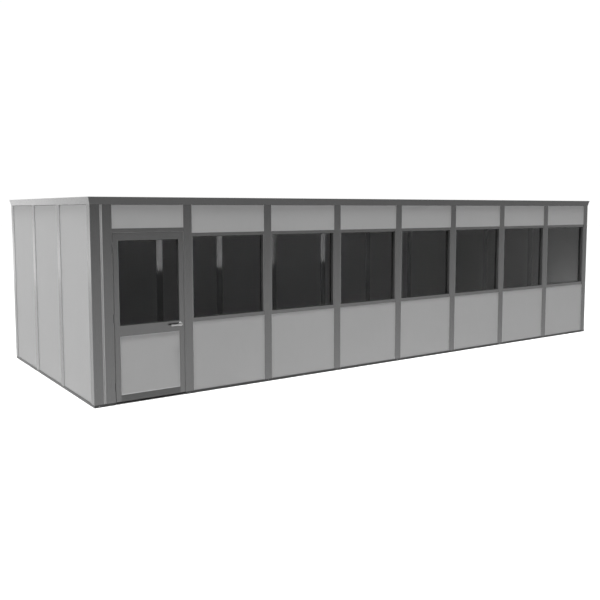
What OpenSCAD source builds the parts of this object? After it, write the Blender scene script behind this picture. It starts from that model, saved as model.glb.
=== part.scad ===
// Modular in-plant office: flat wall panels held in the pockets of extruded posts on a floor track,
// a row of fixed windows, one part-glazed swing door, a ribbed steel roof deck and a flared roof trim.
// Millimetres. Origin on the floor at the middle of the plan, front towards -Y, +X to the right, +Z up.

/* [Plan] */
// Spacing of the posts along every wall
bay = 1219.2; // [1150:0.1:1400]
// Number of bays in the front and back walls
front_bays = 8; // [4:1:10]
// Number of bays in the two end walls
side_bays = 3; // [2:1:5]

/* [Wall system] */
// Thickness of the wall panels
panel_t = 76; // [60:1:100]
// Thickness of the post flanges that lap over the panels
flange_t = 8; // [6:0.5:12]
// Width of a post's face
post_w = 120; // [110:1:150]
// Depth of the pocket that takes a panel's edge
seat = 28; // [20:1:36]
// Wall thickness of a post's hollow core
post_wall = 4; // [3:0.5:8]
// Radius on the outer edges of the flanges
post_edge_r = 3; // [1:0.5:5]
// Play between a panel's edge and the bottom of its pocket
panel_play = 2; // [1:0.5:5]
// Visible height of the panel over the door
over_door_h = 295; // [200:1:700]
// Visible height of the panels over the windows
over_window_h = 368; // [200:1:700]

/* [Floor track] */
// Height of the track's legs
track_h = 34; // [25:1:50]
// Thickness of the track's base
track_base = 4; // [3:0.5:8]

/* [Windows] */
// Height of the glass opening
light_h = 1070; // [900:1:1300]
// Visible height of the sill rail
sill_h = 51; // [45:1:80]
// Visible height of the head rail
head_h = 43; // [35:1:70]
// Visible width of a window jamb
jamb_face = 13; // [12:0.5:25]
// How far the window rails stand proud of the panels
rail_proud = 4; // [1:0.5:5.5]
// How far the lips of a rail lap over a panel's edge
rail_lip = 12; // [6:1:20]
// Thickness of the glass
glass_t = 6; // [4:0.5:10]
// How far the glass sits into its groove
glass_bite = 10; // [6:0.5:11]

/* [Door] */
// Width of the narrow panel between the corner post and the hinge post
filler_w = 29.2; // [15:0.1:80]
// Running gap round the door leaf
door_gap = 9; // [8:0.5:12]
// Height of the door leaf's lower edge above the floor
leaf_z = 33; // [28:1:45]
// Height of the door leaf
leaf_h = 2096; // [1950:1:2180]
// Thickness of the door leaf
leaf_t = 44; // [38:1:50]
// Width of the door's stiles
stile_w = 66; // [62:1:110]
// Height of the door's top rail
top_rail_h = 88; // [70:1:130]
// Height of the lock rail's lower edge above the floor
lock_rail_z = 852; // [700:1:900]
// Height of the lock rail
lock_rail_h = 132; // [90:1:180]
// Height of the door's bottom rail
bottom_rail_h = 80; // [60:1:250]
// Thickness of the door's lower panel
door_panel_t = 28; // [16:1:32]
// Visible height of the header over the door
header_h = 49; // [40:1:80]
// How far the door stops overlap the leaf
stop_lap = 12; // [8:1:20]
// Thickness of the door stops
stop_t = 16; // [10:1:20]
// Gap between the closed leaf and its stops
stop_gap = 5; // [5:0.5:8]
// Gap between the upright stops and the one under the header
stop_joint = 0.5; // [0.3:0.1:2]
// Height of the threshold
threshold_h = 20; // [12:1:22]
// Width of the threshold's sloped edges
threshold_slope = 22; // [10:1:35]

/* [Hinges] */
// Number of butt hinges on the door
hinge_count = 3; // [2:1:4]
// Height of a hinge
hinge_h = 102; // [80:1:130]
// Distance of the end hinges from the ends of the leaf
hinge_inset = 190; // [150:1:300]
// Outer radius of the hinge knuckles
knuckle_r = 6; // [5.5:0.1:7]
// Radius of the hinge pin
pin_r = 3; // [2:0.1:3.5]
// Radial play of the pin in its knuckles
pin_play = 0.05; // [0.02:0.01:0.1]
// Gap between neighbouring knuckles
knuckle_gap = 0.3; // [0.2:0.1:0.6]
// How far the knuckles stand clear of the door's face
knuckle_stand = 1.5; // [1:0.5:4]
// Thickness of the hinge leaves
hinge_leaf_t = 2.5; // [2:0.1:3]
// Width of the hinge leaves on the edge of the door
hinge_leaf_w = 34; // [25:1:37]
// Height of the button on top of a hinge pin
pin_head_h = 4; // [2:0.5:8]

/* [Lever] */
// Height of the lever's spindle above the floor
lever_z = 938; // [900:1:1050]
// Distance of the spindle from the edge of the door
backset = 54; // [48:1:66]
// Radius of the spindle
spindle_r = 5; // [4:0.1:7]
// Play of the spindle in the roses
spindle_play = 0.06; // [0.02:0.01:0.1]
// Radius of the round roses
rose_r = 27; // [22:0.5:32]
// Thickness of a rose
rose_t = 9; // [6:0.5:14]
// Chamfer on the edge of a rose
rose_chamfer = 2; // [1:0.5:4]
// Radius of the lever's neck
neck_r = 9; // [8:0.5:12]
// Length of the lever's neck in front of its rose
neck_l = 34; // [28:1:45]
// Length of the lever's arm from the spindle to its tip
arm_l = 150; // [100:1:175]
// Height of the lever's arm
arm_h = 24; // [18:1:28]
// Thickness of the lever's arm
arm_t = 12; // [8:1:16]
// Gap between a turning neck and its rose
neck_gap = 0.3; // [0.2:0.1:0.5]
// Length of the latch face and strike plates
latch_plate_h = 160; // [120:1:200]
// Width of the latch face and strike plates
latch_plate_w = 26; // [20:1:32]
// Thickness of the latch face and strike plates
latch_plate_t = 2; // [1.5:0.1:3]

/* [Roof] */
// Height of the roof trim
trim_h = 91; // [70:1:140]
// How far the top of the roof trim leans out over the walls
trim_flare = 22; // [10:1:40]
// Thickness of the roof trim's section
trim_t = 4; // [3:0.5:6]
// Width of the lip on top of the roof trim
trim_lip = 46; // [34:1:80]
// Height of the ribs of the roof deck
deck_h = 38; // [25:1:60]
// Thickness of the roof deck's sheet
deck_t = 2; // [1:0.5:4]
// Spacing of the roof deck's ribs
deck_pitch = 152.4; // [100:0.1:250]
// Width of a rib's flat top
deck_crown = 64; // [30:1:80]
// Width of a rib's sloped flank
deck_flank = 14; // [5:1:20]
// Bearing of the roof deck on the walls
deck_bearing = 60; // [30:1:80]

/* [Hidden] */
$fn = 48;

// Wall build-up, measured inwards from the outer face
wall_t = panel_t + 2 * flange_t;
wall_mid = wall_t / 2;
core_w = post_w - 2 * seat;
corner_w = wall_t + seat;
clear_w = bay - post_w;
panel_w = clear_w + 2 * (seat - panel_play);
rail_t = panel_t + 2 * rail_proud;

// Overall plan, and the first post line from the end of a wall
front_l = front_bays * bay - post_w + 2 * corner_w;
side_l = side_bays * bay - post_w + 2 * corner_w;
first_line = corner_w - post_w / 2;

// Door levels and places along the front wall
hinge_post_x = -front_l / 2 + corner_w + filler_w + post_w / 2;
door_left = hinge_post_x + post_w / 2;
door_right = -front_l / 2 + first_line + bay - post_w / 2;
door_w = door_right - door_left;
leaf_left = door_left + door_gap;
leaf_right = door_right - door_gap;
leaf_w = leaf_right - leaf_left;
leaf_top = leaf_z + leaf_h;
header_z = leaf_top + door_gap;
header_top = header_z + header_h;
wall_h = header_top + over_door_h;
stop_u = leaf_t + stop_gap;
stop_reach = door_gap + stop_lap;
rail_w = leaf_w - 2 * stile_w;
door_light_z = lock_rail_z + lock_rail_h;
door_light_h = leaf_top - top_rail_h - door_light_z;
door_panel_z = leaf_z + bottom_rail_h;
door_panel_h = lock_rail_z - door_panel_z;

// Window levels, down from the top of the wall
head_top = wall_h - over_window_h;
light_top = head_top - head_h;
sill_z = light_top - light_h;
sill_low = sill_z - sill_h;
light_w = clear_w - 2 * jamb_face;

// Hinge axis, in the running gap and just clear of the door's face
pin_x = door_left + door_gap / 2;
pin_u = -knuckle_r - knuckle_stand;
knuckle_h = hinge_h / 3;
hinge_step = (leaf_h - 2 * hinge_inset) / (hinge_count - 1);
pin_head_r = knuckle_r - knuckle_stand / 2;

// Lever on the lock stile
lever_x = leaf_right - backset;
neck_start = rose_t + neck_gap;
neck_end = neck_start + neck_l;

// Roof deck between the lips of the trim
deck_w = front_l - 2 * (wall_t - deck_bearing);
deck_l = side_l - 2 * (wall_t - deck_bearing);
deck_ribs = floor(deck_w / deck_pitch);
deck_margin = (deck_w - deck_ribs * deck_pitch) / 2;
deck_pan = deck_pitch - deck_crown - 2 * deck_flank;
deck_profile = concat(
    [[-deck_w / 2, 0]],
    [for (i = [0:deck_ribs - 1], p = [[0, 0], [deck_flank, deck_h], [deck_flank + deck_crown, deck_h],
        [2 * deck_flank + deck_crown, 0]])
        [-deck_w / 2 + deck_margin + deck_pan / 2 + i * deck_pitch + p[0], p[1]]],
    [[deck_w / 2, 0]]
);
deck_underside = [for (i = [len(deck_profile) - 1:-1:0]) deck_profile[i]];

// Roof trim section: base on the wall, leaning fascia and a lip on top
trim_profile = [
    [wall_t, 0], [wall_t, trim_t], [trim_t, trim_t],
    [trim_t - trim_flare, trim_h - trim_t], [trim_lip - trim_flare, trim_h - trim_t],
    [trim_lip - trim_flare, trim_h], [-trim_flare, trim_h], [0, 0]
];

// Floor track section: an upright channel as wide as the wall
track_profile = [
    [0, 0], [wall_t, 0], [wall_t, track_h], [wall_t - flange_t, track_h], [wall_t - flange_t, track_base],
    [flange_t, track_base], [flange_t, track_h], [0, track_h]
];

frame_grey = "#6a6c6e";
panel_grey = "#a6a8a9";
glass_grey = "#3b4043";
steel_grey = "#b9bcbe";
deck_grey = "#a7abad";

// Turns a wall's own axes (X along it, Y inwards from its outer face) to one side of the plan
module on_side(turn, span) {
    rotate(turn) translate([0, -span / 2, 0]) children();
}

module on_front() {
    on_side(0, side_l) children();
}

module on_back() {
    on_side(180, side_l) children();
}

module on_left() {
    on_side(-90, front_l) children();
}

module on_right() {
    on_side(90, front_l) children();
}

// A section drawn in the inward and upward axes, run along a wall and mitred at both ends
module mitred_run(run, reach_out, reach_in, height) {
    intersection() {
        rotate([90, 0, 90]) linear_extrude(run + 2 * reach_out, center = true) children();
        linear_extrude(height)
            polygon([
                [-run / 2 - reach_out, -reach_out], [run / 2 + reach_out, -reach_out],
                [run / 2 - reach_in, reach_in], [-run / 2 + reach_in, reach_in]
            ]);
    }
}

// A box from its low corner to its high corner
module block(low, high) {
    translate(low) cube(high - low);
}

// Floor tracks
module track_run(run) {
    color(frame_grey) mitred_run(run, 0, wall_t, track_h) polygon(track_profile);
}

module floor_track_front() {
    color(frame_grey) on_front() difference() {
        track_run(front_l);
        block([door_left, -wall_t, -track_h], [door_right, 2 * wall_t, 2 * track_h]);
    }
}

module floor_track_back() {
    on_back() track_run(front_l);
}

module floor_track_left() {
    on_left() track_run(side_l);
}

module floor_track_right() {
    on_right() track_run(side_l);
}

// Low threshold with sloped edges that closes the track across the doorway
module door_threshold() {
    color(steel_grey) on_front() translate([door_left, 0, 0]) rotate([90, 0, 90]) linear_extrude(door_w)
        polygon([
            [0, 0], [wall_t, 0], [wall_t, track_base], [wall_t - threshold_slope, threshold_h],
            [threshold_slope, threshold_h], [0, track_base]
        ]);
}

// Post flange with its two outer edges rounded, its outer face on the X axis
module flange_section(width) {
    translate([-width / 2 + post_edge_r, 0]) square([width - 2 * post_edge_r, flange_t]);
    translate([-width / 2, post_edge_r]) square([width, flange_t - post_edge_r]);
    for (side = [-1, 1]) translate([side * (width / 2 - post_edge_r), post_edge_r]) circle(post_edge_r);
}

// Post section: hollow core between two flanges, with a pocket for a panel on each side
module post_section() {
    flange_section(post_w);
    translate([0, wall_t]) mirror([0, 1]) flange_section(post_w);
    difference() {
        translate([-core_w / 2, flange_t]) square([core_w, panel_t]);
        translate([-core_w / 2 + post_wall, flange_t]) square([core_w - 2 * post_wall, panel_t]);
    }
}

module post() {
    color(frame_grey) translate([0, 0, track_h]) linear_extrude(wall_h - track_h) post_section();
}

// Posts on every bay line between the corners of a wall
module post_row(span, bays) {
    for (i = [1:bays - 1]) translate([-span / 2 + first_line + i * bay, 0, 0]) post();
}

module front_posts() {
    on_front() post_row(front_l, front_bays);
}

module back_posts() {
    on_back() post_row(front_l, front_bays);
}

module left_posts() {
    on_left() post_row(side_l, side_bays);
}

module right_posts() {
    on_right() post_row(side_l, side_bays);
}

module door_hinge_post() {
    on_front() translate([hinge_post_x, 0, 0]) post();
}

// Corner post: square hollow core with lips that form a pocket along each of the two walls
module corner_section() {
    difference() {
        union() {
            translate([post_edge_r, 0]) square([wall_t - post_edge_r, wall_t]);
            translate([0, post_edge_r]) square([wall_t, wall_t - post_edge_r]);
            translate([post_edge_r, post_edge_r]) circle(post_edge_r);
        }
        translate([flange_t, flange_t]) square(panel_t);
    }
    for (u = [0, wall_t - flange_t]) {
        translate([wall_t, u]) square([seat, flange_t]);
        translate([u, wall_t]) square([flange_t, seat]);
    }
}

module corner_post(turn) {
    x = turn % 180 == 0 ? front_l : side_l;
    y = turn % 180 == 0 ? side_l : front_l;
    color(frame_grey) rotate(turn) translate([-x / 2, -y / 2, track_h])
        linear_extrude(wall_h - track_h) corner_section();
}

module corner_post_front_left() {
    corner_post(0);
}

module corner_post_front_right() {
    corner_post(90);
}

module corner_post_back_right() {
    corner_post(180);
}

module corner_post_back_left() {
    corner_post(270);
}

// A flat panel in the middle of the wall, between two levels
module wall_panel(width, low, high) {
    color(panel_grey) block([-width / 2, flange_t, low], [width / 2, flange_t + panel_t, high]);
}

// Places its children in the middle of each bay, from the first to the last
module in_bays(span, first, last) {
    for (i = [first:last]) translate([-span / 2 + first_line + (i - 1 / 2) * bay, 0, 0]) children();
}

module full_panels(span, bays) {
    in_bays(span, 1, bays) wall_panel(panel_w, track_base, wall_h);
}

module back_panels() {
    on_back() full_panels(front_l, front_bays);
}

module left_panels() {
    on_left() full_panels(side_l, side_bays);
}

module right_panels() {
    on_right() full_panels(side_l, side_bays);
}

module corner_filler() {
    on_front() translate([-front_l / 2 + corner_w + filler_w / 2, 0, 0])
        wall_panel(filler_w + 2 * (seat - panel_play), track_base, wall_h);
}

module sill_panels() {
    on_front() in_bays(front_l, 2, front_bays) wall_panel(panel_w, track_base, sill_low + rail_lip);
}

// Panels over the windows, and the one over the door
module transom_panels() {
    on_front() {
        in_bays(front_l, 2, front_bays) wall_panel(panel_w, head_top - rail_lip, wall_h);
        translate([(door_left + door_right) / 2, 0, 0])
            wall_panel(door_w + 2 * (seat - panel_play), header_top - rail_lip, wall_h);
    }
}

// A pane as wide and high as its opening and the grooves that hold it
module pane(width, low, high, mid, thick) {
    block([-width / 2 - glass_bite, mid - thick / 2, low - glass_bite],
        [width / 2 + glass_bite, mid + thick / 2, high + glass_bite]);
}

module window_pane() {
    color(glass_grey) pane(light_w, sill_z, light_top, wall_mid, glass_t);
}

// Rail across a bay: its ends fit the post pockets, its face stands proud between the posts, and
// its lips lap over the edge of the panel above it or below it
module bay_rail(width, low, high, lip_low, lip_high) {
    end_w = width + 2 * (seat - panel_play);
    color(frame_grey) {
        block([-end_w / 2, flange_t, low + lip_low], [end_w / 2, flange_t + panel_t, high - lip_high]);
        for (u = [wall_mid - rail_t / 2, wall_mid + panel_t / 2])
            block([-width / 2, u, low], [width / 2, u + rail_proud, high]);
    }
}

module window_sills() {
    on_front() in_bays(front_l, 2, front_bays) difference() {
        bay_rail(clear_w, sill_low, sill_z, rail_lip, 0);
        window_pane();
    }
}

module window_heads() {
    on_front() in_bays(front_l, 2, front_bays) difference() {
        bay_rail(clear_w, light_top, head_top, 0, rail_lip);
        window_pane();
    }
}

// Upright at each side of a window, with a tongue in the post's pocket and a groove for the glass
module window_jambs() {
    color(frame_grey) on_front() in_bays(front_l, 2, front_bays) for (side = [0, 1]) mirror([side, 0, 0])
        difference() {
            union() {
                block([clear_w / 2 - jamb_face, wall_mid - rail_t / 2, sill_z],
                    [clear_w / 2, wall_mid + rail_t / 2, light_top]);
                block([clear_w / 2 - jamb_face, flange_t, sill_z],
                    [panel_w / 2, flange_t + panel_t, light_top]);
            }
            window_pane();
        }
}

module window_panes() {
    on_front() in_bays(front_l, 2, front_bays) window_pane();
}

module door_header() {
    on_front() translate([(door_left + door_right) / 2, 0, 0])
        bay_rail(door_w, header_z, header_top, 0, rail_lip);
}

// Liner that fills the post's pocket beside the doorway
module door_jamb() {
    block([-seat + panel_play, flange_t, track_base], [0, flange_t + panel_t, header_z]);
}

// Strips behind the leaf that it closes against, on both jambs and under the header
module door_stops() {
    color(frame_grey) on_front() {
        for (x = [door_left, door_right - stop_reach])
            block([x, stop_u, threshold_h], [x + stop_reach, stop_u + stop_t, header_z]);
        block([door_left + stop_reach + stop_joint, stop_u, header_z - stop_reach],
            [door_right - stop_reach - stop_joint, stop_u + stop_t, header_z]);
    }
}

module door_jamb_hinge() {
    color(frame_grey) on_front() translate([door_left, 0, 0]) door_jamb();
}

// Plate let flush into the edge at latch height, growing to +X
module latch_blank(x) {
    block([x, (leaf_t - latch_plate_w) / 2, lever_z - latch_plate_h / 2],
        [x + latch_plate_t, (leaf_t + latch_plate_w) / 2, lever_z + latch_plate_h / 2]);
}

module door_jamb_strike() {
    color(frame_grey) on_front() difference() {
        translate([door_right, 0, 0]) mirror([1, 0, 0]) door_jamb();
        latch_blank(door_right);
    }
}

module strike_plate() {
    color(steel_grey) on_front() latch_blank(door_right);
}

// Places the glass and the lower panel of the door, which also cut their grooves
module in_leaf() {
    translate([(leaf_left + leaf_right) / 2, 0, 0]) children();
}

module door_glass_blank() {
    in_leaf() pane(rail_w, door_light_z, door_light_z + door_light_h, leaf_t / 2, glass_t);
}

module door_panel_blank() {
    in_leaf() pane(rail_w, door_panel_z, door_panel_z + door_panel_h, leaf_t / 2, door_panel_t);
}

// A stile or rail of the door, grooved for what it holds
module door_bar(left, right, low, high) {
    color(frame_grey) difference() {
        block([left, 0, low], [right, leaf_t, high]);
        door_glass_blank();
        door_panel_blank();
    }
}

module door_stile_hinge() {
    on_front() door_bar(leaf_left, leaf_left + stile_w, leaf_z, leaf_top);
}

// Hole for the spindle through the leaf, with room round it
module spindle_hole() {
    on_front() translate([lever_x, leaf_t / 2, lever_z]) rotate([90, 0, 0])
        cylinder(h = 2 * leaf_t, r = neck_r, center = true);
}

module door_stile_lock() {
    difference() {
        on_front() door_bar(leaf_right - stile_w, leaf_right, leaf_z, leaf_top);
        on_front() latch_blank(leaf_right - latch_plate_t);
        spindle_hole();
    }
}

module door_rail(low, high) {
    on_front() door_bar(leaf_left + stile_w, leaf_right - stile_w, low, high);
}

module door_top_rail() {
    door_rail(leaf_top - top_rail_h, leaf_top);
}

module door_lock_rail() {
    difference() {
        door_rail(lock_rail_z, lock_rail_z + lock_rail_h);
        spindle_hole();
    }
}

module door_bottom_rail() {
    door_rail(leaf_z, leaf_z + bottom_rail_h);
}

module door_glass() {
    color(glass_grey) on_front() door_glass_blank();
}

module door_panel() {
    color(panel_grey) on_front() door_panel_blank();
}

module latch_plate() {
    color(steel_grey) on_front() latch_blank(leaf_right - latch_plate_t);
}

// Places its children on the pin's axis at the foot of each hinge
module at_hinges() {
    on_front() for (i = [0:hinge_count - 1])
        translate([pin_x, pin_u, leaf_z + hinge_inset - hinge_h / 2 + i * hinge_step]) children();
}

// One knuckle of a hinge with the web that joins it to its leaf; side is -1 on the frame, 1 on the door
module knuckle(side, low, high) {
    web = door_gap / 2 - hinge_leaf_t;
    translate([0, 0, low]) difference() {
        union() {
            cylinder(h = high - low, r = knuckle_r);
            block([side > 0 ? web : -door_gap / 2, 0, 0], [side > 0 ? door_gap / 2 : -web, -pin_u, high - low]);
        }
        translate([0, 0, -hinge_h]) cylinder(h = 3 * hinge_h, r = pin_r + pin_play);
    }
}

// Flat leaf of a hinge on the face of the jamb or on the edge of the door
module hinge_leaf(side) {
    web = door_gap / 2 - hinge_leaf_t;
    block([side > 0 ? web : -door_gap / 2, -pin_u, 0],
        [side > 0 ? door_gap / 2 : -web, -pin_u + hinge_leaf_w, hinge_h]);
}

module hinge_frame_leaves() {
    color(steel_grey) at_hinges() {
        hinge_leaf(-1);
        knuckle(-1, 0, knuckle_h);
        knuckle(-1, 2 * knuckle_h, hinge_h);
    }
}

module hinge_door_leaves() {
    color(steel_grey) at_hinges() {
        hinge_leaf(1);
        knuckle(1, knuckle_h + knuckle_gap, 2 * knuckle_h - knuckle_gap);
    }
}

// Headed pins, held in the knuckles of the frame
module hinge_pins() {
    color(steel_grey) at_hinges() {
        cylinder(h = hinge_h, r = pin_r);
        translate([0, 0, hinge_h]) cylinder(h = pin_head_h, r = pin_head_r);
    }
}

// Places a shape that grows outwards from the face of the lock stile, outside and inside
module on_lock_faces() {
    on_front() translate([lever_x, 0, lever_z]) {
        rotate([90, 0, 0]) children();
        translate([0, leaf_t, 0]) mirror([0, 1, 0]) rotate([90, 0, 0]) children();
    }
}

module lever_roses() {
    color(steel_grey) on_lock_faces() rotate_extrude()
        polygon([
            [spindle_r + spindle_play, 0], [rose_r, 0], [rose_r, rose_t - rose_chamfer],
            [rose_r - rose_chamfer, rose_t], [spindle_r + spindle_play, rose_t]
        ]);
}

// Spindle through the door with a thicker neck at each end
module lever_spindle() {
    color(steel_grey) {
        on_front() translate([lever_x, -neck_end, lever_z]) rotate([-90, 0, 0])
            cylinder(h = leaf_t + 2 * neck_end, r = spindle_r);
        on_lock_faces() translate([0, 0, neck_start]) cylinder(h = neck_l, r = neck_r);
    }
}

// Straight arms with round ends on the necks, pointing to the hinge side
module lever_arms() {
    color(steel_grey) on_lock_faces() translate([0, 0, neck_end]) linear_extrude(arm_t) {
        circle(arm_h / 2);
        translate([-arm_l + arm_h / 2, -arm_h / 2]) square([arm_l - arm_h / 2, arm_h]);
        translate([-arm_l + arm_h / 2, 0]) circle(arm_h / 2);
    }
}

// Ribbed steel sheet that bears on the trim all round
module roof_deck() {
    color(deck_grey) translate([0, deck_l / 2, wall_h + trim_t]) rotate([90, 0, 0]) linear_extrude(deck_l)
        polygon(concat([for (p = deck_profile) p + [0, deck_t]], deck_underside));
}

module trim_run(run) {
    color(frame_grey) translate([0, 0, wall_h]) mitred_run(run, trim_flare, wall_t, trim_h)
        polygon(trim_profile);
}

module roof_trim_front() {
    on_front() trim_run(front_l);
}

module roof_trim_back() {
    on_back() trim_run(front_l);
}

module roof_trim_left() {
    on_left() trim_run(side_l);
}

module roof_trim_right() {
    on_right() trim_run(side_l);
}

floor_track_front();
floor_track_back();
floor_track_left();
floor_track_right();
door_threshold();
corner_post_front_left();
corner_post_front_right();
corner_post_back_left();
corner_post_back_right();
front_posts();
back_posts();
left_posts();
right_posts();
door_hinge_post();
corner_filler();
sill_panels();
transom_panels();
back_panels();
left_panels();
right_panels();
window_sills();
window_heads();
window_jambs();
window_panes();
door_header();
door_jamb_hinge();
door_jamb_strike();
door_stops();
strike_plate();
roof_deck();
roof_trim_front();
roof_trim_back();
roof_trim_left();
roof_trim_right();
hinge_frame_leaves();
hinge_pins();
door_stile_hinge();
door_stile_lock();
door_top_rail();
door_lock_rail();
door_bottom_rail();
door_glass();
door_panel();
hinge_door_leaves();
lever_roses();
latch_plate();
lever_spindle();
lever_arms();
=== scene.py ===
# Modular in-plant office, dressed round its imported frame. Metres, +Z up, front towards -Y.
import math

import bmesh
import bpy
from mathutils import Matrix, Vector


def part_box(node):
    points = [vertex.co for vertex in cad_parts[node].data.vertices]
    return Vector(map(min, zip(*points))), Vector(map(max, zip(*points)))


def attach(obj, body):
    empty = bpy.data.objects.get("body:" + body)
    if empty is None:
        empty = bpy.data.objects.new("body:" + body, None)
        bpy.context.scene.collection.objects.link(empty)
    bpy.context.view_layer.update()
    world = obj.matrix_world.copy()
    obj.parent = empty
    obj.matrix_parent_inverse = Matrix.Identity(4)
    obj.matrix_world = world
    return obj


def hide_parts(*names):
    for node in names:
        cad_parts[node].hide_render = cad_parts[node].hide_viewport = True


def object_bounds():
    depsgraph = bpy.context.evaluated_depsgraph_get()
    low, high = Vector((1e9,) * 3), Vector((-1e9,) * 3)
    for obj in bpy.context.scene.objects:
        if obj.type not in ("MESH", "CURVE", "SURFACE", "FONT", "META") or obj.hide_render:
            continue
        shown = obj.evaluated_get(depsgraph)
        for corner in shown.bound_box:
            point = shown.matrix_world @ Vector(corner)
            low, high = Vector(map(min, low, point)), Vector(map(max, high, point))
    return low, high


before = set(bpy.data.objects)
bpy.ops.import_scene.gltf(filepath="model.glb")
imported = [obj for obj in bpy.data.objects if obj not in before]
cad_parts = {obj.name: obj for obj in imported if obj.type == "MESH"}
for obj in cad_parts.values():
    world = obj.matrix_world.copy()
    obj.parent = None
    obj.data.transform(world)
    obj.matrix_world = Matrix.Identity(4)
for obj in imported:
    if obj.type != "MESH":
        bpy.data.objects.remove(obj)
cad_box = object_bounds()


# Studio: a pale floor with a painted pool of light round the office, in a white room that glows
# towards +X, under a wide soft light from above. Large softboxes stand beside and behind the left end,
# a weak one at the front right, and a small one indoors at the right end. The camera stands where the
# photograph was taken from.
scene = bpy.context.scene
scene.view_settings.view_transform = "Standard"

FRAME_PX = 600
FOCAL_PX = 736.75
AXIS_PX = Vector((306.47, 271.83))
SENSOR = 36
EYE = Vector((-7.8692, -10.5906, 2.4249))
YAW = math.radians(34.977)
PITCH = math.radians(4.885)
ROLL = math.radians(0.054)

ahead = Vector((math.sin(YAW) * math.cos(PITCH), math.cos(YAW) * math.cos(PITCH), -math.sin(PITCH)))
level_right = Vector((math.cos(YAW), -math.sin(YAW), 0))
level_down = ahead.cross(level_right)
right = level_right * math.cos(ROLL) + level_down * math.sin(ROLL)
up = right.cross(ahead)
camera = bpy.data.objects.new("camera", bpy.data.cameras.new("camera"))
camera.matrix_world = Matrix.Translation(EYE) @ Matrix((right, up, -ahead)).transposed().to_4x4()
camera.data.sensor_width = SENSOR
camera.data.lens = SENSOR * FOCAL_PX / FRAME_PX
camera.data.shift_x = (FRAME_PX / 2 - AXIS_PX.x) / FRAME_PX
camera.data.shift_y = (AXIS_PX.y - FRAME_PX / 2) / FRAME_PX
scene.collection.objects.link(camera)
scene.camera = camera


class Wire:
    """One socket of a node tree. Arithmetic on it adds Math nodes, and node() adds any other."""

    def __init__(self, tree, socket):
        self.tree = tree
        self.socket = socket

    def feed(self, socket, value):
        if isinstance(value, Wire):
            self.tree.links.new(value.socket, socket)
        else:
            socket.default_value = value

    def node(self, kind, settings=None, sockets=None, out=0):
        made = self.tree.nodes.new("ShaderNode" + kind)
        for name, value in (settings or {}).items():
            setattr(made, name, value)
        for name, value in (sockets or {}).items():
            self.feed(made.inputs[name], value)
        return Wire(self.tree, made.outputs[out])

    def math(self, operation, *terms):
        return self.node("Math", {"operation": operation}, dict(enumerate(terms)))

    def __add__(self, other):
        return self.math("ADD", self, other)

    def __sub__(self, other):
        return self.math("SUBTRACT", self, other)

    def __rsub__(self, other):
        return self.math("SUBTRACT", other, self)

    def __mul__(self, other):
        return self.math("MULTIPLY", self, other)

    __radd__ = __add__
    __rmul__ = __mul__

    def noise(self, scale, detail=2):
        """Noise between 0 and 1, with its own number of features per metre along each axis."""
        stretched = self.node("Mapping", None, {"Vector": self, "Scale": scale})
        return self.node("TexNoise", None, {"Vector": stretched, "Scale": 1, "Detail": detail})

    def between(self, dark, light):
        """A colour that runs from dark to light as this value runs from 0 to 1."""
        return self.node("Mix", {"data_type": "RGBA"}, {0: self, 6: dark, 7: light}, out=2)

    def ranging(self, low, high):
        """A number that runs from low to high as this value runs from 0 to 1."""
        return low + self * (high - low)

    def relief(self, depth, strength):
        return self.node("Bump", None, {"Height": self, "Distance": depth, "Strength": strength})

    def skin(self, sockets):
        """Feeds the material's own shader."""
        shader = self.tree.nodes["Principled BSDF"]
        for name, value in sockets.items():
            self.feed(shader.inputs[name], value)


def new_finish(name):
    """A new material, and the wire of the object's own coordinates in it."""
    material = bpy.data.materials.new(name)
    material.use_nodes = True
    coordinates = material.node_tree.nodes.new("ShaderNodeTexCoord")
    return material, Wire(material.node_tree, coordinates.outputs["Object"])


def grey(level):
    return (level, level, level, 1)


ROOM_WHITE = 1.02
ROOM_GREY = 0.28
ROOM_GLOW = 1
GLOW_FALL = 4
SKY_LIGHT = 8
SKY_SPREAD = math.radians(8)
SKY_LEAN = Vector((0.13, 0.13, -1))
FLOOR_HALF = Vector((90, 90, 1))
FLOOR_DROP = 0.0005
FLOOR_TONE = 0.675
LIGHT_POOL_FALL = 0.3075
LIGHT_POOL_REACH = 4
FLOOR_STAIN = 0.05
STAINS_PER_M = 0.8

room = bpy.data.worlds.new("white_room")
room.use_nodes = True
scene.world = room
room_shader = room.node_tree.nodes["Background"]
path = Wire(room.node_tree, room.node_tree.nodes.new("ShaderNodeLightPath").outputs["Is Camera Ray"])
outlook = Wire(room.node_tree, room.node_tree.nodes.new("ShaderNodeTexCoord").outputs["Generated"])
rightward = outlook.math("MAXIMUM", outlook.node("SeparateXYZ", None, {"Vector": outlook}), 0)
glow = rightward.math("POWER", rightward, GLOW_FALL)
wall = glow.between(grey(ROOM_GREY), grey(ROOM_GREY + ROOM_GLOW))
path.feed(room_shader.inputs["Color"], path.between(wall, grey(ROOM_WHITE)))

sky = bpy.data.objects.new("overhead_light", bpy.data.lights.new("overhead_light", "SUN"))
sky.data.energy = SKY_LIGHT
sky.data.angle = SKY_SPREAD
sky.rotation_euler = SKY_LEAN.to_track_quat("-Z", "Y").to_euler()
scene.collection.objects.link(sky)

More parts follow.
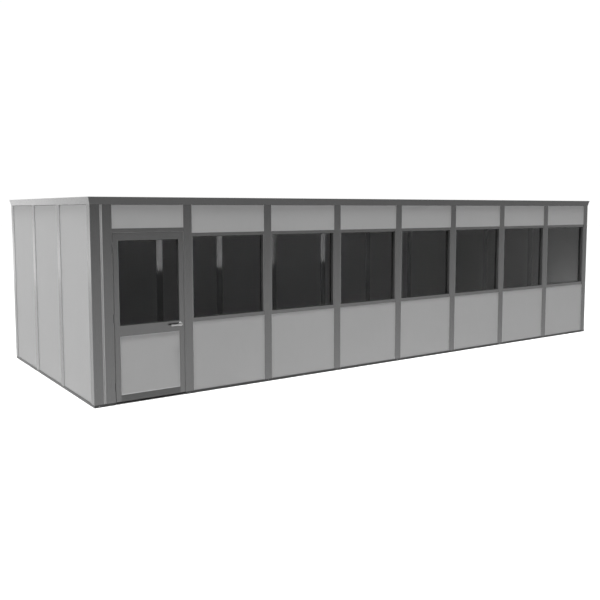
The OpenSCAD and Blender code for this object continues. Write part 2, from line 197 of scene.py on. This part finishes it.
for name, place, target, wide, high, watts, mirrored in (
    ("softbox_side", Vector((-15, -1.5, 4.5)), Vector((-5, 0, 1.2)), 22, 9, 875, True),
    ("softbox_back", Vector((-9.5, 12.5, 4)), Vector((-6, 0, 1.2)), 12, 8, 320, True),
    ("softbox_front", Vector((9, -17, 5.5)), Vector((0, 0, 1.2)), 18, 5, 220, False),
    ("softbox_inside", Vector((4.3, -1.58, 0.75)), Vector((4.87, -1.68, 1.35)), 0.4, 0.4, 3.1, False),
):
    softbox = bpy.data.objects.new(name, bpy.data.lights.new(name, "AREA"))
    softbox.data.shape = "RECTANGLE"
    softbox.data.size = wide
    softbox.data.size_y = high
    softbox.data.energy = watts
    turn = (target - place).to_track_quat("-Z", "Y").to_matrix().to_4x4()
    softbox.matrix_world = Matrix.Translation(place) @ turn
    softbox.visible_camera = False
    softbox.visible_glossy = mirrored
    scene.collection.objects.link(softbox)

floor_finish, spot = new_finish("pale_floor")
# The floor's tone is a painted pool of light: lightest at the office and darker away from it, with stains
# on top.
away = spot.node("VectorMath", {"operation": "LENGTH"}, {0: spot}, out="Value")
stain = spot.noise([STAINS_PER_M] * 3) * FLOOR_STAIN
far = away.math("DIVIDE", away, away + LIGHT_POOL_REACH) + stain
spot.skin({
    "Base Color": far.between(grey(FLOOR_TONE), grey(FLOOR_TONE - LIGHT_POOL_FALL)),
    "Roughness": 1,
    "Specular IOR Level": 0,
})
floor_mesh = bmesh.new()
floor_place = Matrix.Translation((0, 0, cad_box[0].z - FLOOR_DROP))
bmesh.ops.create_grid(floor_mesh, x_segments=1, y_segments=1, size=1,
                      matrix=floor_place @ Matrix.Diagonal((*FLOOR_HALF, 1)))
floor = bpy.data.objects.new("floor", bpy.data.meshes.new("floor"))
floor_mesh.to_mesh(floor.data)
floor_mesh.free()
floor.data.materials.append(floor_finish)
scene.collection.objects.link(floor)


# Floor track: an extruded aluminium channel, anodised dark, that lies along the foot of every wall. A
# row of pan-head screws through its outer leg fixes the wall in it.
WALL_T = 0.092
FLANGE_T = 0.008
SLACK = 0.004
LINES_ACROSS = 700
LINES_ALONG = 2.5
LINE_SHARE = 0.35
CLOUDS_PER_M = 1.3
OUTER_SPREAD = 0.1
INNER_SPREAD = 0.08
ROUGH_SPREAD = 0.05
INNER_ROUGHNESS = 0.07
INNER_DULLING = 0.4
TRACK_TONE = 0.05
TRACK_ROUGHNESS = 0.4
FRAME_TONE = 0.115
FRAME_ROUGHNESS = 0.26
STEEL_DARK = 0.288
STEEL_LIGHT = 0.3456
TRACK_SCREW_R = 0.0045
TRACK_SCREW_PITCH = 0.61
TRACK_SCREW_END = 0.06
HEAD_SIDES = 12

# Shares of a screw head's radius: its height, top, rim round the drive, and the drive's slant and depth
HEAD_H = 0.45
HEAD_TOP = 0.72
DRIVE_IN = 0.34
DRIVE_SLANT = 0.04
DRIVE_DEPTH = 0.28

plan_low, plan_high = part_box("floor_track_front")[0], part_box("floor_track_back")[1]
track_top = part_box("floor_track_front")[1].z
door_low, door_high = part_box("door_threshold")


def shades(tone, spread):
    """The darkest and the lightest grey of a finish that varies by a share of its tone."""
    return grey(tone * (1 - spread)), grey(tone * (1 + spread))


def within_room(place):
    """1 on the faces that look into the room, 0 on the faces that look out."""
    mask = 1
    for axis in range(2):
        reach = plan_high[axis] - WALL_T + FLANGE_T + SLACK
        across = place.node("SeparateXYZ", None, {"Vector": place}, out=axis)
        mask = across.math("LESS_THAN", across.math("ABSOLUTE", across), reach) * mask
    return mask


def satin_metal(name, along, tone, roughness, inner_tone=None, metallic=1):
    """Anodised metal with fine lines along the way it was drawn, and bare metal on the room's side."""
    material, place = new_finish(name)
    stretch = [LINES_ACROSS] * 3
    stretch[along] = LINES_ALONG
    lines = place.noise(stretch, detail=3)
    clouds = place.noise([CLOUDS_PER_M] * 3)
    mottle = lines * LINE_SHARE + clouds * (1 - LINE_SHARE)
    colour = mottle.between(*shades(tone, OUTER_SPREAD))
    rough = mottle.ranging(roughness - ROUGH_SPREAD, roughness + ROUGH_SPREAD)
    height = lines
    if inner_tone:
        inside = within_room(place)
        bare = mottle.between(*shades(inner_tone, INNER_SPREAD))
        colour = inside.between(colour, bare)
        rough = rough - inside * (roughness - INNER_ROUGHNESS)
        height = lines * (1 - inside)
        metallic = 1 - inside * INNER_DULLING
    place.skin({
        "Base Color": colour,
        "Metallic": metallic,
        "Roughness": rough,
        "Normal": height.relief(depth=0.0003, strength=0.12),
    })
    return material


def dress(material, *nodes):
    """Gives pieces of the frame a finish."""
    for node in nodes:
        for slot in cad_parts[node].material_slots:
            slot.material = material


def add_piece(name, shape, material, body):
    """A new mesh piece from a finished bmesh, which rides on a body."""
    mesh = bpy.data.meshes.new(name)
    shape.to_mesh(mesh)
    shape.free()
    mesh.materials.append(material)
    piece = bpy.data.objects.new(name, mesh)
    scene.collection.objects.link(piece)
    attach(piece, body)
    return piece


def screw(shape, place, out, radius):
    """Low conical head with a sunk drive, standing on a surface at place and pointing out."""
    out = Vector(out)
    height = HEAD_H * radius
    turn = Vector((0, 0, 1)).rotation_difference(out).to_matrix().to_4x4()
    seat = Matrix.Translation(Vector(place) + out * height / 2) @ turn
    made = bmesh.ops.create_cone(shape, cap_ends=True, segments=HEAD_SIDES, radius1=radius,
                                 radius2=HEAD_TOP * radius, depth=height, matrix=seat)
    faces = {face for vert in made["verts"] for face in vert.link_faces}
    top = max(faces, key=lambda face: face.calc_center_median().dot(out))
    bmesh.ops.inset_region(shape, faces=[top], thickness=DRIVE_IN * radius)
    bmesh.ops.inset_region(shape, faces=[top], thickness=DRIVE_SLANT * radius, depth=-DRIVE_DEPTH * radius)


def steps(low, high, pitch):
    """Even places from low to high, about a pitch apart."""
    count = max(1, round((high - low) / pitch))
    return [low + (high - low) * i / count for i in range(count + 1)]


track_x = satin_metal("track_metal_x", 0, TRACK_TONE, TRACK_ROUGHNESS)
track_y = satin_metal("track_metal_y", 1, TRACK_TONE, TRACK_ROUGHNESS)
dress(track_x, "floor_track_front", "floor_track_back")
dress(track_y, "floor_track_left", "floor_track_right")

steel, grain = new_finish("satin_steel")
brush = grain.noise((60, 60, 900), detail=3)
grain.skin({
    "Base Color": brush.between(grey(STEEL_DARK), grey(STEEL_LIGHT)),
    "Metallic": 1,
    "Roughness": brush.ranging(0.26, 0.38),
    "Normal": brush.relief(depth=0.0002, strength=0.1),
})

heads = bmesh.new()
screw_z = track_top / 2
for x in steps(plan_low.x + TRACK_SCREW_END, plan_high.x - TRACK_SCREW_END, TRACK_SCREW_PITCH):
    screw(heads, (x, plan_high.y, screw_z), (0, 1, 0), TRACK_SCREW_R)
    if not door_low.x - TRACK_SCREW_END < x < door_high.x + TRACK_SCREW_END:
        screw(heads, (x, plan_low.y, screw_z), (0, -1, 0), TRACK_SCREW_R)
for y in steps(plan_low.y + TRACK_SCREW_END, plan_high.y - TRACK_SCREW_END, TRACK_SCREW_PITCH):
    screw(heads, (plan_low.x, y, screw_z), (-1, 0, 0), TRACK_SCREW_R)
    screw(heads, (plan_high.x, y, screw_z), (1, 0, 0), TRACK_SCREW_R)
add_piece("track_screws", heads, steel, "office")


# Posts: hollow aluminium extrusions on every bay line and at the corners. Their outer faces are dark
# satin anodised, and the faces that look into the room are left bare and brighter.
INNER_TONE = 0.21

post_metal = satin_metal("post_metal", 2, FRAME_TONE, FRAME_ROUGHNESS, INNER_TONE)
dress(post_metal, "front_posts", "back_posts", "left_posts", "right_posts", "door_hinge_post",
      "corner_post_front_left", "corner_post_front_right",
      "corner_post_back_left", "corner_post_back_right")


# Wall panels: flat boards faced with a matt grey vinyl film. Their edges stand in the pockets of the
# posts, and a soft bead closes the corner between a panel and the post beside it. A thin dark strip at the
# top of each panel's outer face, under the roof trim, is painted shadow.
PANEL_TONE = 0.224
INNER_PANEL_TONE = 0.25
PANEL_SPREAD = 0.05
SHADE_SHARE = 0.7
STRIP_SPREAD = 0.15
BAR_EDGE = 0.001
BEAD_W = 0.0075
BEAD_EDGE = 0.0018
BEAD_TONE = 0.25
# Size and tone of the dark strip of painted shadow under the roof trim.
TRIM_SHADOW_T = 0.005
TRIM_SHADOW_H = 0.007
TRIM_SHADOW_TONE = 0.09


def solids(node, axis):
    """The boxes of a node's separate solids, found as the unbroken stretches along an axis."""
    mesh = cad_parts[node].data
    spans = []
    for face in mesh.polygons:
        corners = [mesh.vertices[i].co for i in face.vertices]
        spans.append((min(c[axis] for c in corners), max(c[axis] for c in corners)))
    joined = []
    for start, end in sorted(spans):
        if joined and start <= joined[-1][1] + SLACK:
            joined[-1][1] = max(joined[-1][1], end)
        else:
            joined.append([start, end])
    boxes = []
    for start, end in joined:
        inside = [v.co for v in mesh.vertices if start - SLACK < v.co[axis] < end + SLACK]
        boxes.append((Vector(map(min, zip(*inside))), Vector(map(max, zip(*inside)))))
    return boxes


def round_edges(shape, edges, radius, segments=2):
    """Bevels edges to a round."""
    bmesh.ops.bevel(shape, geom=edges, offset=radius, offset_type="OFFSET", affect="EDGES",
                    segments=segments, profile=0.5, material=-1)


def bar(shape, low, high, edge=BAR_EDGE):
    """A box from corner to corner with its edges rounded."""
    size = Vector(high) - Vector(low)
    middle = (Vector(high) + Vector(low)) / 2
    made = bmesh.ops.create_cube(shape, matrix=Matrix.Translation(middle) @ Matrix.Diagonal((*size, 1)))
    round_edges(shape, list({link for vert in made["verts"] for link in vert.link_edges}), edge)


vinyl, film = new_finish("vinyl_film")
pebble = film.noise((420, 420, 420), detail=3)
fade = film.noise((0.9, 0.9, 0.5))
scuffs = film.noise((14, 14, 5), detail=4)
shade = fade * SHADE_SHARE + scuffs * (1 - SHADE_SHARE)
outer_film = shade.between(*shades(PANEL_TONE, PANEL_SPREAD))
inner_film = shade.between(*shades(INNER_PANEL_TONE, PANEL_SPREAD))
film.skin({
    "Base Color": within_room(film).between(outer_film, inner_film),
    "Roughness": pebble.ranging(0.5, 0.62),
    "Specular IOR Level": 0.35,
    "Normal": pebble.relief(depth=0.0002, strength=0.15),
})
dress(vinyl, "corner_filler", "sill_panels", "transom_panels",
      "back_panels", "left_panels", "right_panels")


def streaked_strip_finish(name, tone):
    """Soft grey vinyl with slight upright streaks, also used for dark strips of painted shade."""
    material, strip = new_finish(name)
    dust = strip.noise((90, 90, 12), detail=3)
    strip.skin({
        "Base Color": dust.between(*shades(tone, STRIP_SPREAD)),
        "Roughness": dust.ranging(0.5, 0.7),
    })
    return material


bead_vinyl = streaked_strip_finish("bead_vinyl", BEAD_TONE)

wall_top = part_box("front_posts")[1].z
front_lines = [(low.x, high.x) for low, high in solids("front_posts", 0)]
side_lines = [(low.y, high.y) for low, high in solids("left_posts", 1)]
corner_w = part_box("corner_post_front_left")[1].x - plan_low.x
sill_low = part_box("window_sills")[0].z
head_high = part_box("window_heads")[1].z
hinge_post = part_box("door_hinge_post")
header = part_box("door_header")


def wall_bar(shape, axis, along, depth, low, high, edge=BAR_EDGE):
    """A bar on a wall that runs along an axis, between two places along the wall and two depths in it."""
    near, far = zip(sorted(along), sorted(depth))
    if axis == 1:
        near, far = near[::-1], far[::-1]
    bar(shape, (*near, low), (*far, high), edge)


def post_edges(lines, low, high):
    """Each place along a wall where a post ends and a panel begins, with the side the panel is on."""
    edges = [(low + corner_w, 1), (high - corner_w, -1)]
    for start, end in lines:
        edges += [(start, -1), (end, 1)]
    return edges


def bead(shape, axis, along, side, face, inward, low, high):
    """An upright bead in the corner between a post's flange and a panel's face."""
    start = face + inward * (FLANGE_T - BEAD_W)
    depth = (start, start + inward * BEAD_W)
    wall_bar(shape, axis, (along, along + side * BEAD_W), depth, low, high, BEAD_EDGE)


beads = bmesh.new()
for along, side in post_edges(front_lines, plan_low.x, plan_high.x):
    for face, inward in ((plan_high.y, -1), (plan_high.y - WALL_T, 1)):
        bead(beads, 0, along, side, face, inward, track_top, wall_top)
for along, side in post_edges(side_lines, plan_low.y, plan_high.y):
    for face, inward in ((plan_low.x, 1), (plan_low.x + WALL_T, -1),
                         (plan_high.x, -1), (plan_high.x - WALL_T, 1)):
        bead(beads, 1, along, side, face, inward, track_top, wall_top)
front_faces = ((plan_low.y, 1), (plan_low.y + WALL_T, -1))
for along, side in post_edges(front_lines, plan_low.x, plan_high.x):
    over_door = along < door_high.x + SLACK and side < 0
    in_window_bay = along > door_high.x + SLACK
    for face, inward in front_faces:
        if in_window_bay:
            bead(beads, 0, along, side, face, inward, track_top, sill_low)
            bead(beads, 0, along, side, face, inward, head_high, wall_top)
        elif over_door:
            bead(beads, 0, along, side, face, inward, header[1].z, wall_top)
for face, inward in front_faces:
    bead(beads, 0, plan_low.x + corner_w, 1, face, inward, track_top, wall_top)
    bead(beads, 0, hinge_post[0].x, -1, face, inward, track_top, wall_top)
    bead(beads, 0, hinge_post[1].x, 1, face, inward, header[1].z, wall_top)
add_piece("panel_beads", beads, bead_vinyl, "office")


def trim_shadow_run(shape, axis, lines, low, high, face, inward):
    """Painted shadow at the top of a wall's outer face, in each stretch between the beads of its posts."""
    depth = (face + inward * FLANGE_T, face + inward * (FLANGE_T - TRIM_SHADOW_T))
    cuts = sorted([low + corner_w, high - corner_w] + [edge for line in lines for edge in line])
    for start, end in zip(cuts[::2], cuts[1::2]):
        wall_bar(shape, axis, (start + BEAD_W, end - BEAD_W), depth, wall_top - TRIM_SHADOW_H, wall_top)


# Dark strips of painted shadow under the roof trim, on the outer face of every wall.
trim_shadow_mesh = bmesh.new()
hinge_line = (hinge_post[0].x, hinge_post[1].x)
trim_shadow_run(trim_shadow_mesh, 0, front_lines + [hinge_line], plan_low.x, plan_high.x, plan_low.y, 1)
trim_shadow_run(trim_shadow_mesh, 0, front_lines, plan_low.x, plan_high.x, plan_high.y, -1)
trim_shadow_run(trim_shadow_mesh, 1, side_lines, plan_low.y, plan_high.y, plan_low.x, 1)
trim_shadow_run(trim_shadow_mesh, 1, side_lines, plan_low.y, plan_high.y, plan_high.x, -1)
add_piece("trim_painted_shadow", trim_shadow_mesh, streaked_strip_finish("painted_trim_shadow", TRIM_SHADOW_TONE), "office")


# Windows: sill, head and jambs of the same anodised metal hold a grey-tinted pane, which is bedded
# between two black rubber gaskets.
JAMB_METALLIC = 0.6
GLASS_BITE = 0.010
GASKET_W = 0.008
GASKET_T = 0.006
GASKET_EDGE = 0.002
SHARP = math.radians(45)
RUBBER_DARK = 0.012
RUBBER_LIGHT = 0.028
GLASS_DARK = 0.012
GLASS_LIGHT = 0.02
GLASS_ALPHA = 0.08
GLASS_RIM = 3.8

rubber, bulk = new_finish("black_rubber")
bloom = bulk.noise((240, 240, 240), detail=3)
bulk.skin({
    "Base Color": bloom.between(grey(RUBBER_DARK), grey(RUBBER_LIGHT)),
    "Roughness": bloom.ranging(0.55, 0.8),
    "Normal": bloom.relief(depth=0.0002, strength=0.2),
})


def sharp_edges(edges):
    """The edges where two faces meet at a sharp angle."""
    return [edge for edge in edges if edge.calc_face_angle(0) > SHARP]


def gasket(shape, low, high, out):
    """A rectangular soft frame on the face of a pane, from the corner low to the corner high."""
    rim = [(low.x, low.z), (high.x, low.z), (high.x, high.z), (low.x, high.z)]
    sheet = shape.faces.new([shape.verts.new((x, low.y, z)) for x, z in rim])
    sheet.normal_update()
    ring = bmesh.ops.inset_region(shape, faces=[sheet], use_boundary=True, use_even_offset=True,
                                  thickness=GASKET_W)["faces"]
    bmesh.ops.delete(shape, geom=[sheet], context="FACES")
    raised = bmesh.ops.extrude_face_region(shape, geom=ring)["geom"]
    corners = [part for part in raised if isinstance(part, bmesh.types.BMVert)]
    bmesh.ops.translate(shape, verts=corners, vec=(0, out * GASKET_T, 0))
    edges = [part for part in raised if isinstance(part, bmesh.types.BMEdge)]
    round_edges(shape, sharp_edges(edges), GASKET_EDGE)


def glazing_gaskets(name, panes, material, body):
    """Gaskets on both faces of each pane, where it leaves its groove."""
    shape = bmesh.new()
    bite = Vector((GLASS_BITE, 0, GLASS_BITE))
    for low, high in panes:
        for face, out in ((low.y, -1), (high.y, 1)):
            gasket(shape, Vector((low.x, face, low.z)) + bite, Vector((high.x, face, high.z)) - bite, out)
    bmesh.ops.recalc_face_normals(shape, faces=shape.faces)
    add_piece(name, shape, material, body)


rail_metal = satin_metal("rail_metal", 0, FRAME_TONE, FRAME_ROUGHNESS)
window_jamb_metal = satin_metal("window_jamb_metal", 2, FRAME_TONE, FRAME_ROUGHNESS,
                                metallic=JAMB_METALLIC)
dress(rail_metal, "window_sills", "window_heads")
dress(window_jamb_metal, "window_jambs")

tinted_glass, sheet = new_finish("tinted_glass")
rim_light = sheet.node("LayerWeight", None, {"Blend": 0.3}, out="Facing")
wipe = sheet.noise((3, 3, 0.8), detail=3)
sheet.skin({
    "Base Color": wipe.between(grey(GLASS_DARK), grey(GLASS_LIGHT)),
    "Roughness": wipe.ranging(0.02, 0.05),
    "Alpha": rim_light.math("MINIMUM", GLASS_ALPHA + rim_light * rim_light * GLASS_RIM, 1),
})
dress(tinted_glass, "window_panes", "door_glass")
glazing_gaskets("window_gaskets", solids("window_panes", 0), rubber, "office")


# Door frame: a header, two jamb liners and three stops of the same metal. A black seal runs along the
# stops, a dark grey strip of painted shade fills most of the running gap, the strike is bare steel and the
# threshold ribbed.
SEAL_T = 0.0042
SEAL_W = 0.007
SEAL_EDGE = 0.0018
GAP_SHADE_STRIP = Vector((0.006, 0.0045))
GAP_SHADE_IN = 0.0015
GAP_SHADE_TONE = 0.08
RIB_COUNT = 5
RIB_W = 0.004
RIB_H = 0.0008
RIB_END = 0.004
RIB_EDGE = 0.0004
THRESHOLD_SLOPE = 0.022
LATCH_SLOT = Vector((0.0003, 0.014, 0.034))
SLOT_EDGE = 0.0001
PLATE_SCREW_R = 0.0032
PLATE_SCREW_END = 0.016

jamb_metal = satin_metal("jamb_metal", 2, FRAME_TONE, FRAME_ROUGHNESS)
dress(rail_metal, "door_header")
dress(jamb_metal, "door_jamb_hinge", "door_jamb_strike", "door_stops")
dress(steel, "strike_plate", "door_threshold")

leaf_low, leaf_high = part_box("door_stile_hinge")[0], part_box("door_stile_lock")[1]
stop_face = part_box("door_stops")[0].y
seal_face = stop_face - SEAL_T
seal_top = leaf_high.z - SEAL_W
seals = bmesh.new()
for start, end in ((leaf_low.x, leaf_low.x + SEAL_W), (leaf_high.x - SEAL_W, leaf_high.x)):
    bar(seals, (start, seal_face, leaf_low.z), (end, stop_face, seal_top), SEAL_EDGE)
bar(seals, (leaf_low.x, seal_face, seal_top), (leaf_high.x, stop_face, leaf_high.z), SEAL_EDGE)
add_piece("door_seals", seals, rubber, "office")

hinge_spans = [(low.z, high.z) for low, high in solids("hinge_frame_leaves", 2)]
strip_ends = [door_high.z] + [z for span in hinge_spans for z in span] + [header[0].z]
strip_front = plan_low.y + GAP_SHADE_IN
strip_back = strip_front + GAP_SHADE_STRIP.y
strip_left = door_low.x + GAP_SHADE_STRIP.x
strip_right = door_high.x - GAP_SHADE_STRIP.x
# Painted shade: dark strips that stand for the shadow in the door's running gap.
strips = bmesh.new()
for low, high in zip(strip_ends[::2], strip_ends[1::2]):
    bar(strips, (door_low.x, strip_front, low), (strip_left, strip_back, high))
bar(strips, (strip_right, strip_front, door_high.z), (door_high.x, strip_back, header[0].z))
bar(strips, (strip_left, strip_front, header[0].z - GAP_SHADE_STRIP.x), (strip_right, strip_back, header[0].z))
add_piece("door_gap_shade_strips", strips, streaked_strip_finish("painted_gap_shade", GAP_SHADE_TONE), "office")

ribs = bmesh.new()
flat_low, flat_high = door_low.y + THRESHOLD_SLOPE, door_high.y - THRESHOLD_SLOPE
for i in range(RIB_COUNT):
    y = flat_low + (i + 0.5) * (flat_high - flat_low) / RIB_COUNT
    bar(ribs, (door_low.x + RIB_END, y - RIB_W / 2, door_high.z - RIB_H),
        (door_high.x - RIB_END, y + RIB_W / 2, door_high.z + RIB_H), RIB_EDGE)
add_piece("threshold_ribs", ribs, steel, "office")


def plate_screws(name, plate, out, body):
    """Two screws on an upright plate that faces along X."""
    low, high = plate
    face = high.x if out > 0 else low.x
    middle = (low + high) / 2
    shape = bmesh.new()
    for z in (low.z + PLATE_SCREW_END, high.z - PLATE_SCREW_END):
        screw(shape, (face, middle.y, z), (out, 0, 0), PLATE_SCREW_R)
    add_piece(name, shape, steel, body)


strike_low, strike_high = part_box("strike_plate")
plate_screws("strike_screws", (strike_low, strike_high), -1, "office")
slot_shape = bmesh.new()
slot_middle = (strike_low + strike_high) / 2
slot_middle.x = strike_low.x
bar(slot_shape, slot_middle - LATCH_SLOT / 2, slot_middle + LATCH_SLOT / 2, SLOT_EDGE)
add_piece("strike_slot", slot_shape, rubber, "office")


# Door leaf: two stiles and three rails of the same metal, the lowest darkened with painted shade, hold a
# pane in black gaskets and below it a vinyl-faced panel in grey ones. A black sweep closes the gap over
# the threshold, three butt hinges carry the leaf, and a steel latch bolt stands out of its edge.
SHADED_RAIL_TONE = 0.075
SWEEP_T = 0.012
SWEEP_CLEAR = 0.003
SWEEP_END = 0.004
SWEEP_EDGE = 0.002
DOOR_GAP = 0.009
HINGE_LEAF_T = 0.0025
HINGE_SCREW_R = 0.0034
HINGE_SCREWS = (0.2, 0.5, 0.8)
BOLT = Vector((0.006, 0.012, 0.022))
BOLT_EDGE = 0.002

dress(jamb_metal, "door_stile_hinge", "door_stile_lock")
dress(rail_metal, "door_top_rail", "door_lock_rail")
# The bottom rail is a darker copy of the frame metal: painted shade.
dress(satin_metal("bottom_rail_painted_shade", 0, SHADED_RAIL_TONE, FRAME_ROUGHNESS), "door_bottom_rail")
dress(vinyl, "door_panel")
dress(jamb_metal, "hinge_frame_leaves", "hinge_door_leaves", "hinge_pins")
dress(steel, "latch_plate")
glazing_gaskets("door_glass_gaskets", [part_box("door_glass")], rubber, "door")
glazing_gaskets("door_panel_gaskets", [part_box("door_panel")], bead_vinyl, "door")

leaf_mid = (leaf_low.y + leaf_high.y) / 2
sweep = bmesh.new()
bar(sweep, (leaf_low.x + SWEEP_END, leaf_mid - SWEEP_T / 2, door_high.z + SWEEP_CLEAR),
    (leaf_high.x - SWEEP_END, leaf_mid + SWEEP_T / 2, leaf_low.z), SWEEP_EDGE)
add_piece("door_sweep", sweep, rubber, "door")

for name, node, body, out, face in (
    ("hinge_frame_screws", "hinge_frame_leaves", "office", 1, leaf_low.x + HINGE_LEAF_T - DOOR_GAP),
    ("hinge_door_screws", "hinge_door_leaves", "door", -1, leaf_low.x - HINGE_LEAF_T),
):
    fixings = bmesh.new()
    for low, high in solids(node, 2):
        for share in HINGE_SCREWS:
            z = low.z + share * (high.z - low.z)
            screw(fixings, (face, leaf_mid, z), (out, 0, 0), HINGE_SCREW_R)
    add_piece(name, fixings, steel, body)

latch_low, latch_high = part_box("latch_plate")
plate_screws("latch_screws", (latch_low, latch_high), 1, "door")
bolt = bmesh.new()
bolt_low = Vector((
    latch_high.x,
    (latch_low.y + latch_high.y - BOLT.y) / 2,
    (latch_low.z + latch_high.z - BOLT.z) / 2,
))
bar(bolt, bolt_low, bolt_low + BOLT, BOLT_EDGE)
add_piece("latch_bolt", bolt, steel, "door")


# Lever: a satin steel arm on each side of the door, on round roses, both on one spindle. The arms are
# forged, with their edges fully rounded for the hand.
ARM_EDGE = 0.005
ARM_SEGMENTS = 5
WELD_DIST = 0.00001
FLAT = math.radians(1)

dress(steel, "lever_roses", "lever_spindle")
arms = bmesh.new()
arms.from_mesh(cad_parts["lever_arms"].data)
bmesh.ops.remove_doubles(arms, verts=arms.verts, dist=WELD_DIST)
bmesh.ops.dissolve_limit(arms, angle_limit=FLAT, verts=arms.verts, edges=arms.edges)
round_edges(arms, sharp_edges(arms.edges), ARM_EDGE, ARM_SEGMENTS)
grip = add_piece("lever_grips", arms, steel, "lever")
grip.data.shade_smooth()
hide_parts("lever_arms")


# Roof: a ribbed steel deck that bears on the walls, screwed down in every pan, inside four lengths of
# flared aluminium trim that are mitred at the corners and screwed down along their tops.
DECK_DARK = 0.2125
DECK_LIGHT = 0.275
DECK_METALLIC = 0.7
SPANGLE_SHARE = 0.4
DECK_PITCH = 0.1524
DECK_T = 0.002
DECK_SCREW_R = 0.006
DECK_SCREW_END = 0.035
TRIM_TONE = 0.0695
TRIM_SCREW_R = 0.005
TRIM_SCREW_IN = 0.03
TRIM_SCREW_PITCH = 0.61

zinc, coat = new_finish("zinc_coat")
spangle = coat.node("TexVoronoi", None, {"Vector": coat, "Scale": 55}, out="Distance")
haze = coat.noise((2, 2, 2), detail=3)
patina = spangle * SPANGLE_SHARE + haze * (1 - SPANGLE_SHARE)
coat.skin({
    "Base Color": patina.between(grey(DECK_DARK), grey(DECK_LIGHT)),
    "Metallic": DECK_METALLIC,
    "Roughness": patina.ranging(0.38, 0.58),
    "Normal": spangle.relief(depth=0.0003, strength=0.08),
})
dress(zinc, "roof_deck")
dress(satin_metal("trim_metal_x", 0, TRIM_TONE, FRAME_ROUGHNESS), "roof_trim_front", "roof_trim_back")
dress(satin_metal("trim_metal_y", 1, TRIM_TONE, FRAME_ROUGHNESS), "roof_trim_left", "roof_trim_right")

deck_low, deck_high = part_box("roof_deck")
pan_top = deck_low.z + DECK_T
pans = math.floor((deck_high.x - deck_low.x) / DECK_PITCH)
fixings = bmesh.new()
for i in range(pans + 1):
    x = (i - pans / 2) * DECK_PITCH
    for y in (deck_low.y + DECK_SCREW_END, deck_high.y - DECK_SCREW_END):
        screw(fixings, (x, y, pan_top), (0, 0, 1), DECK_SCREW_R)
add_piece("deck_screws", fixings, steel, "office")

trim_low, trim_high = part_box("roof_trim_front")[0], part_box("roof_trim_back")[1]
row_x = (trim_low.x + TRIM_SCREW_IN, trim_high.x - TRIM_SCREW_IN)
row_y = (trim_low.y + TRIM_SCREW_IN, trim_high.y - TRIM_SCREW_IN)
fixings = bmesh.new()
for x in steps(*row_x, TRIM_SCREW_PITCH):
    for y in row_y:
        screw(fixings, (x, y, trim_high.z), (0, 0, 1), TRIM_SCREW_R)
for y in steps(*row_y, TRIM_SCREW_PITCH)[1:-1]:
    for x in row_x:
        screw(fixings, (x, y, trim_high.z), (0, 0, 1), TRIM_SCREW_R)
add_piece("trim_screws", fixings, steel, "office")
